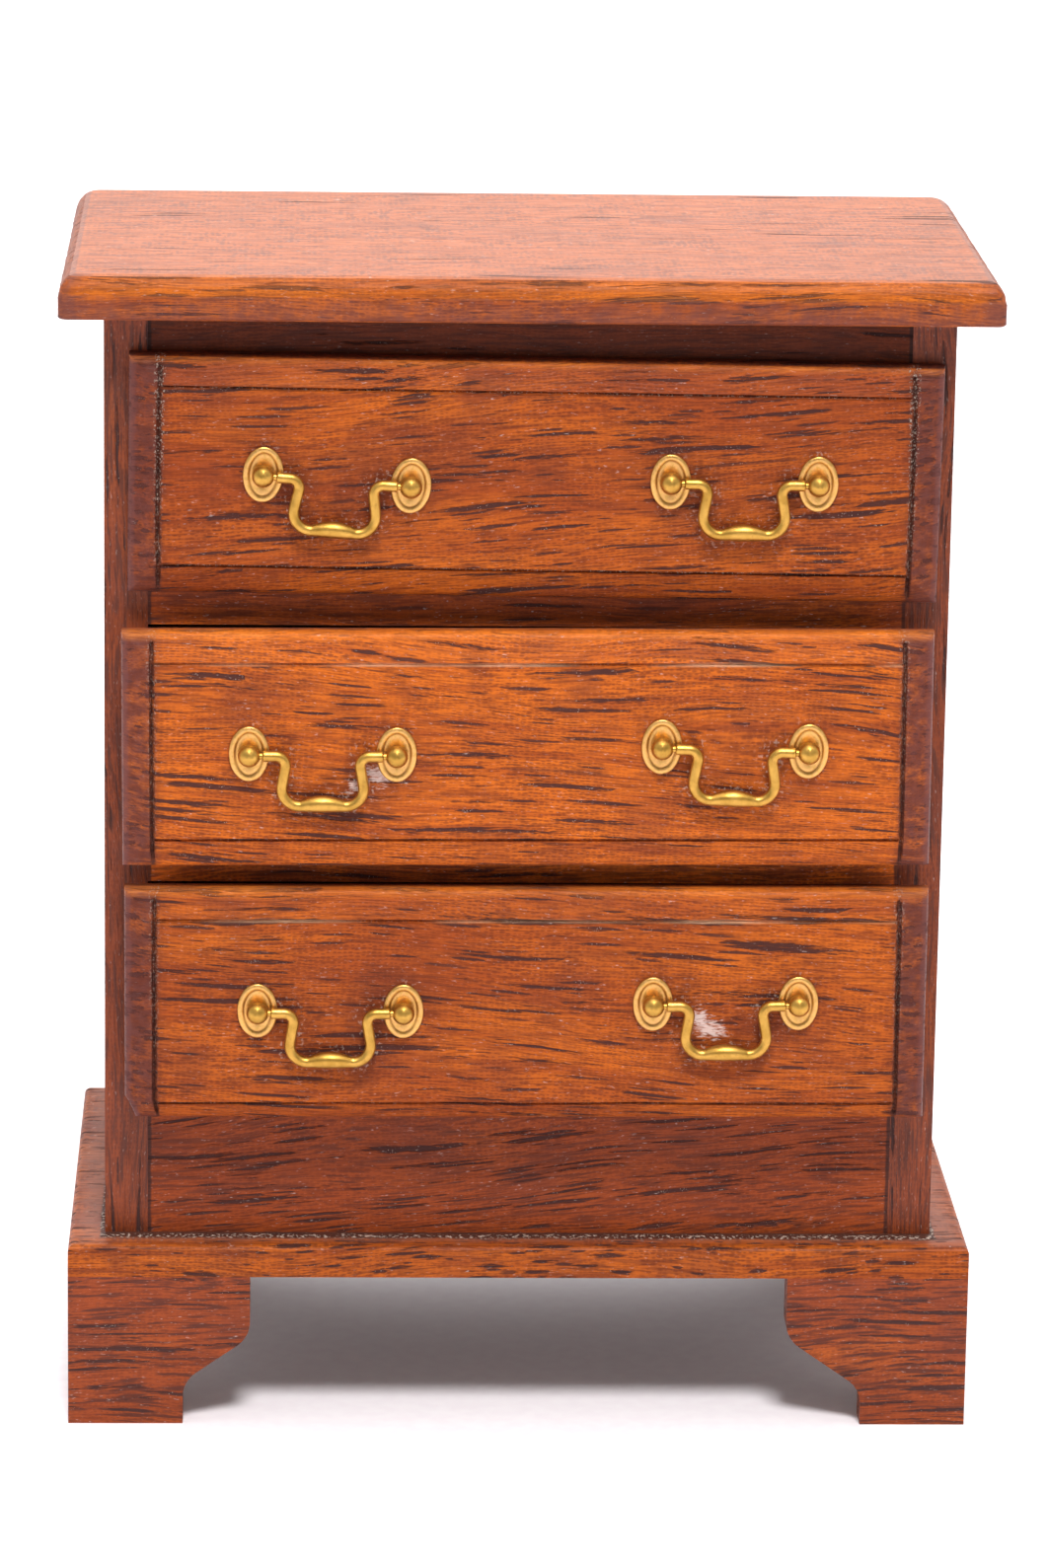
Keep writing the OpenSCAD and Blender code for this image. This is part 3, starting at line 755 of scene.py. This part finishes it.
def face_points(level, placed):
    """The vertices of a front's face, row by row from its foot, with how many columns and rows there
    are, and the marks at each vertex."""
    front_y = sizes(f"{level}_drawer_front")[0].y
    xs = spaced(FRONT_W, DENSE_W, DENSE_STEP, COARSE_STEP_X)
    zs = spaced(FRONT_H, DENSE_W, DENSE_STEP, COARSE_STEP_Z)
    grime = near_handles(level)
    lint = lint_on(level)

    def chipped(x, z):
        """The lowest front has lost its lower left corner."""
        if level != "lower":
            return x
        bite = 0.7 * max(0.0, 1 - z / 1.4) ** 0.8
        return x + bite * float(ease(x, 3.0, 0.0))

    verts = []
    marks = {key: [] for key in MARKS_BEHIND}
    for z in zs:
        for x in xs:
            depth, shown = front_point(x, z, level)
            point = placed(chipped(x, z), front_y + depth, z)
            verts.append(point)
            shown["grime"] = grime(point[0], point[2])
            shown["lint"] = lint(point[0], point[2])
            shown["stained"] = 0.8 * float(ease(min(x, FRONT_W - x), BEVEL_W + 0.8, BEVEL_W - 0.2))
            for key, value in shown.items():
                marks[key].append(value)
    return verts, len(xs), len(zs), marks


def grid_rim(nx, nz):
    """The numbers of the outermost vertices of a grid of rows, anticlockwise from its first."""
    foot = list(range(nx))
    right = [j * nx + nx - 1 for j in range(1, nz)]
    head = [(nz - 1) * nx + i for i in range(nx - 2, -1, -1)]
    left = [j * nx for j in range(nz - 2, 0, -1)]
    return foot + right + head + left


def drawer_front(level, material):
    """A fielded front with saw kerfs, worn edges and the tongue at its back."""
    lo, hi = sizes(f"{level}_drawer_front")
    left_side, right_side = sizes(f"{level}_drawer_left_side"), sizes(f"{level}_drawer_right_side")
    tongue_x = (left_side[1].x, right_side[0].x)
    tongue_z = (left_side[0].z, left_side[1].z)
    centre = (lo + hi) / 2
    turn = math.radians(SKEW[level])
    lip_back = lo.y + LIP_T + FIELD_RISE

    def placed(x, y, z):
        dx, dz = x - FRONT_W / 2, z - FRONT_H / 2
        return (centre.x + dx * math.cos(turn) + dz * math.sin(turn), y,
                centre.z - dx * math.sin(turn) + dz * math.cos(turn))

    verts, nx, nz, marks = face_points(level, placed)
    faces = [(j * nx + i, j * nx + i + 1, (j + 1) * nx + i + 1, (j + 1) * nx + i)
             for j in range(nz - 1) for i in range(nx - 1)]
    rim = grid_rim(nx, nz)
    left_edge = verts[rim[0]][0]

    def straight(p, y):
        return (p[0], y, p[2])

    def tongued(p, y):
        u = min(max((p[0] - left_edge) / FRONT_W, 0.0), 1.0)
        v = min(max((p[2] - centre.z) / FRONT_H + 0.5, 0.0), 1.0)
        return (tongue_x[0] + (tongue_x[1] - tongue_x[0]) * u, y,
                tongue_z[0] + (tongue_z[1] - tongue_z[0]) * v)

    loops = [rim]
    for y, fit in ((lip_back - 0.12, straight), (lip_back, straight), (lip_back, tongued), (hi.y, tongued)):
        loops.append(grow(verts, [fit(verts[v], y) for v in rim]))
    for a, b in zip(loops, loops[1:]):
        faces += strip(b, a)
    faces.append(tuple(reversed(loops[-1])))

    behind = dict(MARKS_BEHIND)
    # Painted shade on the upper front's edges behind its face, for the shadow of the top board.
    if level == "upper":
        behind["dust"] = UPPER_PAINTED_SHADE
    extra = len(verts) - nx * nz
    attributes = {key: values + [behind[key]] * extra for key, values in marks.items()}
    made = mesh_piece(f"{level}_drawer_face", verts, faces, material, attributes, 45)
    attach(made, f"{level}_drawer")
    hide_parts(f"{level}_drawer_front")


# ---------------------------------------------------------------- top board

def rounded_outline(lo, hi, inset, back_inset):
    """Points round a board seen from above, anticlockwise, with its corners rounded."""
    x0, x1 = lo.x + inset, hi.x - inset
    y0, y1 = lo.y + inset, hi.y - back_inset
    front_r = max(TOP_FRONT_CORNER - inset * 0.3, 0.05)
    back_r = max(TOP_BACK_CORNER - inset, 0.3)
    corners = ((x1, y0, front_r, -90), (x1, y1, back_r, 0), (x0, y1, back_r, 90), (x0, y0, front_r, 180))
    signs = ((-1, 1), (-1, -1), (1, -1), (1, 1))
    counts = (round((hi.y - lo.y) / OUTLINE_STEP), round((hi.x - lo.x) / OUTLINE_STEP)) * 2
    arcs = []
    for (x, y, r, start), (sx, sy) in zip(corners, signs):
        turns = [math.radians(start + 90 * i / CORNER_STEPS) for i in range(CORNER_STEPS + 1)]
        arcs.append([(x + sx * r + r * math.cos(a), y + sy * r + r * math.sin(a)) for a in turns])
    points = []
    for arc, following, n in zip(arcs, arcs[1:] + arcs[:1], counts):
        a, b = arc[-1], following[0]
        points += arc + [(a[0] + (b[0] - a[0]) * i / n, a[1] + (b[1] - a[1]) * i / n) for i in range(1, n)]
    return points


def top_section(thick):
    """The section of the top board, from below its edge to its flat top: inset, height, wear and a
    painted highlight, strongest on the lower part of the round."""
    section = [(0.12, 0, 0.3, 0), (0.0, 0.12, 0.6, 0), (0.0, TOP_EDGE_H * 0.5, 0.5, 0),
               (0.0, TOP_EDGE_H - 0.12, 0.4, 0), (0.05, TOP_EDGE_H, 0.4, 0.2)]
    for i in range(1, 12):
        a = math.radians(90 * i / 11)
        inset = TOP_ROUND_STEP + (TOP_ROUND_W - TOP_ROUND_STEP) * (1 - math.cos(a))
        height = TOP_EDGE_H + (thick - TOP_EDGE_H) * math.sin(a)
        section.append((inset, height, 0, 0.45 - 0.35 * (i / 11) ** 2))
    return section + [(TOP_ROUND_W + 0.5, thick, 0, 0), (TOP_ROUND_W + 4.0, thick, 0, 0)]


def top_board(material, edge_material):
    """The top: a square edge below, a round one above, rough on its ends where it was sawn."""
    lo, hi = sizes("top_board")
    thick = hi.z - lo.z
    verts, faces, loops, wear, painted_highlight = [], [], [], [], []
    for inset, height, worn, bright in top_section(thick):
        points = rounded_outline(lo, hi, inset, min(inset, 0.2 + 0.35 * max(inset - 0.2, 0)))
        ring = []
        for x, y in points:
            at_end = ease(abs(x), hi.x - 1.6 - inset, hi.x - 0.6 - inset) if height < thick else 0.0
            rough = 0.06 * float(at_end) * (bumpy(y, height, 0.4, 3.0) - 0.9)
            ring.append((x + rough * math.copysign(1, x), y, lo.z + height))
            # A painted highlight on the round of the edge, weaker on the sawn ends.
            painted_highlight.append(bright * (1 - 0.7 * float(at_end)) * (0.75 + 0.4 * bumpy(x, y, 6.0, 5.0)))
            wear.append(worn + 0.5 * float(at_end))
        loops.append(grow(verts, ring))
    for a, b in zip(loops, loops[1:]):
        faces += strip(a, b)
    faces += [tuple(reversed(loops[0])), tuple(loops[-1])]
    made = mesh_piece("top_board_moulded", verts, faces, material,
                      {"wear": wear, "painted_highlight": painted_highlight}, 40)
    made.data.materials.append(edge_material)
    edge_top = lo.z + thick - 0.12
    for face in made.data.polygons:
        face.material_index = int(face.center.z < edge_top * MM)
    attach(made, "case")
    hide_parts("top_board")


# ---------------------------------------------------------------- boards kept from the CAD

def soften(node, width, material):
    """Merges a CAD board's flat faces, rounds its arrises a little and gives it a material."""
    board = frame["nodes"][node]
    board.data.materials.clear()
    board.data.materials.append(material)
    merge = board.modifiers.new("merge", "DECIMATE")
    merge.decimate_type = "DISSOLVE"
    merge.angle_limit = math.radians(0.5)
    bevel = board.modifiers.new("arris", "BEVEL")
    bevel.width = width * MM
    bevel.segments = 3
    bevel.limit_method = "ANGLE"
    bevel.angle_limit = math.radians(32)
    bevel.harden_normals = True


def place_for(index):
    """A different part of the wood pattern for each piece."""
    return (37.0 * index, 11.3 * index, 7.9 * index)


# What mahogany() is asked for, for each board.
# The sides' shade is painted shade, for the shadow that the top board casts on them.
SIDE_WOOD = {"slope": 1.5, "tone": 0.85, "streaks": 0.45, "figure": 0.7, "gloss": 0.3, "shade": 0.8}
# The top rail's shade is painted shade, for the shadow under the top board; the dividers' shade lifts them
# with painted light out of the shadow of the drawers.
RAIL_WOODS = {
    "top_rail": {"slope": 0.5, "tone": 1.0, "streaks": 0.3, "gloss": 0.12, "shade": 0.42},
    "upper_divider": {"slope": 0.5, "tone": 0.6, "streaks": 0.3, "gloss": 0.12, "shade": 1.5},
    "lower_divider": {"slope": 0.5, "tone": 0.4, "streaks": 0.3, "gloss": 0.12, "shade": 2.1},
    "bottom_rail": {"slope": 5.0, "tone": 0.8, "streaks": 0.78, "gloss": 0.15, "shade": 1.08},
}
RAIL_FIGURE = 0.6
SEAM_W = 0.3
BASE_WOOD = {"slope": 1.0, "tone": 0.4, "streaks": 0.8, "figure": 0.4, "gloss": 0.1, "shade": 0.9,
             "pore_length": 0.35}
BASE_DUST_REACH = 2.6
FOOT_WOOD = {"slope": 1.5, "tone": 0.75, "streaks": 0.62, "figure": 0.9, "gloss": 0.2}
TOP_WOOD = {"slope": 0.4, "tone": 0.1, "streaks": 0.15, "figure": 0.2, "gloss": 0.6, "band_length": 4.0}
TOP_EDGE_WOOD = {"slope": 0.4, "tone": 0.2, "streaks": 0.5, "figure": 0.4, "gloss": 0.1, "shade": 0.92}
# The middle front's shade brightens it a little with painted light.
FRONT_WOODS = {
    "upper": {"slope": 4.0, "tone": 0.5, "streaks": 0.72, "shade": 1.0, "crumbly": 1.0},
    "middle": {"slope": -3.0, "tone": 0.22, "streaks": 0.60, "shade": 1.1, "crumbly": 0.3},
    "lower": {"slope": -3.0, "tone": 0.45, "streaks": 0.68, "shade": 1.0, "crumbly": 0.3},
}


def case_boards():
    """The oiled boards of the case, apart from its top."""
    for index, side in enumerate(HANDS, 1):
        wood = mahogany(f"{side}_side_wood", "z", place_for(index), **SIDE_WOOD)
        soften(f"{side}_side_panel", 0.15, wood)
    for index, (node, finish) in enumerate(RAIL_WOODS.items(), 6):
        lo, hi = sizes(node)
        seams = ((lo.x + hi.x) / 2, (hi.x - lo.x) / 2, SEAM_W)
        soften(node, 0.08, mahogany(f"{node}_wood", "x", place_for(index), figure=RAIL_FIGURE, seams=seams,
                                    **finish))
    corner = sizes("left_side_panel")[0]
    settled = (-corner.x, corner.y, BASE_DUST_REACH)
    soften("base_board", 0.12, mahogany("base_wood", "x", place_for(10), settled=settled, **BASE_WOOD))
    index = 11
    for corner in ("front_left", "front_right", "rear_left", "rear_right"):
        for way, along in (("across", "x"), ("along", "y")):
            wood = mahogany(f"{corner}_{way}_wood", along, place_for(index), **FOOT_WOOD)
            soften(f"{corner}_bracket_{way}", 0.15, wood)
            index += 1


def hidden_boards():
    """The bare boards behind and inside. Each row is a node, its arris, the name of its wood, the way
    its grain runs, and its colours."""
    light, panel = (LIGHT_WOOD, LIGHT_GRAIN), (PANEL_WOOD, PANEL_GRAIN)
    rows = [("back_panel", 0.1, "back_wood", "z", panel),
            ("foot_glue_blocks", 0.12, "block_wood", "z", light)]
    for level in LEVELS:
        for hand in HANDS:
            rows.append((f"{level}_{hand}_runner", 0.1, f"{level}_{hand}_runner_wood", "y", light))
            rows.append((f"{level}_drawer_{hand}_side", 0.12, f"{level}_{hand}_side_wood", "y", light))
        rows.append((f"{level}_drawer_back", 0.12, f"{level}_back_wood", "x", light))
        rows.append((f"{level}_drawer_bottom", 0.05, f"{level}_bottom_wood", "x", panel))
    for index, (node, arris, name, along, colours) in enumerate(rows, 20):
        soften(node, arris, bare_wood(name, along, place_for(index), *colours))


# ---------------------------------------------------------------- studio

def look_along(yaw, pitch, roll):
    """A camera's rotation: yaw to the right, pitch downwards, and the picture turned by roll."""
    forward = Vector((math.sin(yaw) * math.cos(pitch), math.cos(yaw) * math.cos(pitch), -math.sin(pitch)))
    level_right = Vector((math.cos(yaw), -math.sin(yaw), 0))
    level_down = forward.cross(level_right)
    right = level_right * math.cos(roll) - level_down * math.sin(roll)
    down = level_right * math.sin(roll) + level_down * math.cos(roll)
    return Matrix((right, -down, -forward)).transposed().to_4x4()


def camera():
    data = bpy.data.cameras.new("camera")
    data.lens = CAMERA_LENS
    data.sensor_width = CAMERA_SENSOR
    data.sensor_fit = "AUTO"
    data.clip_start = 0.01
    data.clip_end = 20
    made = bpy.data.objects.new("camera", data)
    bpy.context.scene.collection.objects.link(made)
    place = Matrix.Translation(Vector(CAMERA_PLACE) * MM)
    made.matrix_world = place @ look_along(CAMERA_YAW, CAMERA_PITCH, CAMERA_ROLL)
    bpy.context.scene.camera = made


def light(kind, name, place, strength, **settings):
    """A light at place that faces the middle of the chest."""
    data = bpy.data.lights.new(name, kind)
    data.energy = strength
    for key, value in settings.items():
        setattr(data, key, value)
    made = bpy.data.objects.new(name, data)
    bpy.context.scene.collection.objects.link(made)
    made.location = place
    made.rotation_mode = "QUATERNION"
    made.rotation_quaternion = (Vector((0, 0, 0.04)) - Vector(place)).to_track_quat("-Z", "Y")


def floor():
    """A sheet of pale paper."""
    t = Tree("floor_paper")
    place = t.node("TexCoord", {}).outputs["Object"]
    fibre = t.noise(place, 900.0, 3.0)
    t.finish(t.mix(t.step(fibre, 0.3, 0.7), PAPER_FIBRE, PAPER), 0.9, t.times(fibre, 0.01))
    mesh = bpy.data.meshes.new("floor")
    half = 4.0
    mesh.from_pydata([(-half, -half, 0), (half, -half, 0), (half, half, 0), (-half, half, 0)], [],
                     [(0, 1, 2, 3)])
    mesh.materials.append(t.material)
    made = bpy.data.objects.new("floor", mesh)
    bpy.context.scene.collection.objects.link(made)


def world():
    """A white studio, darker on the side that the camera stands on."""
    made = bpy.data.worlds.new("studio")
    made.use_nodes = True
    nodes, links = made.node_tree.nodes, made.node_tree.links
    back = nodes["Background"]
    direction = nodes.new("ShaderNodeTexCoord").outputs["Generated"]
    split = nodes.new("ShaderNodeSeparateXYZ")
    links.new(direction, split.inputs[0])
    behind = nodes.new("ShaderNodeMapRange")
    behind.interpolation_type = "SMOOTHSTEP"
    ends = {"From Min": -0.9, "From Max": 0.5, "To Min": FRONT_BRIGHTNESS, "To Max": BACK_BRIGHTNESS}
    for key, value in ends.items():
        behind.inputs[key].default_value = value
    links.new(split.outputs["Y"], behind.inputs["Value"])
    links.new(behind.outputs[0], back.inputs["Strength"])
    back.inputs["Color"].default_value = WHITE
    bpy.context.scene.world = made


def studio():
    view = bpy.context.scene.view_settings
    view.view_transform = "Standard"
    view.look = "None"
    camera()
    floor()
    world()
    light("SUN", "key", SUN_PLACE, SUN_STRENGTH, angle=math.radians(SUN_WIDTH))
    light("AREA", "overhead", OVERHEAD_PLACE, OVERHEAD_WATTS, shape="RECTANGLE", size=OVERHEAD_SIZE,
          size_y=OVERHEAD_SIZE)


# ---------------------------------------------------------------- the chest

studio()
case_boards()
hidden_boards()
top_board(mahogany("top_wood", "x", place_for(30), **TOP_WOOD),
          mahogany("top_edge_wood", "x", place_for(30), **TOP_EDGE_WOOD))
for index, level in enumerate(LEVELS, 40):
    drawer_front(level, mahogany(f"{level}_face_wood", "x", place_for(index), **FRONT_WOODS[level]))
handle_brass = brass("handle_brass")
for level in LEVELS:
    for hand in HANDS:
        bail(level, hand, handle_brass)
        rosettes(level, hand, handle_brass)
        posts = frame["nodes"][f"{level}_{hand}_posts"]
        posts.data.materials.clear()
        posts.data.materials.append(handle_brass)
        posts.data.shade_smooth()
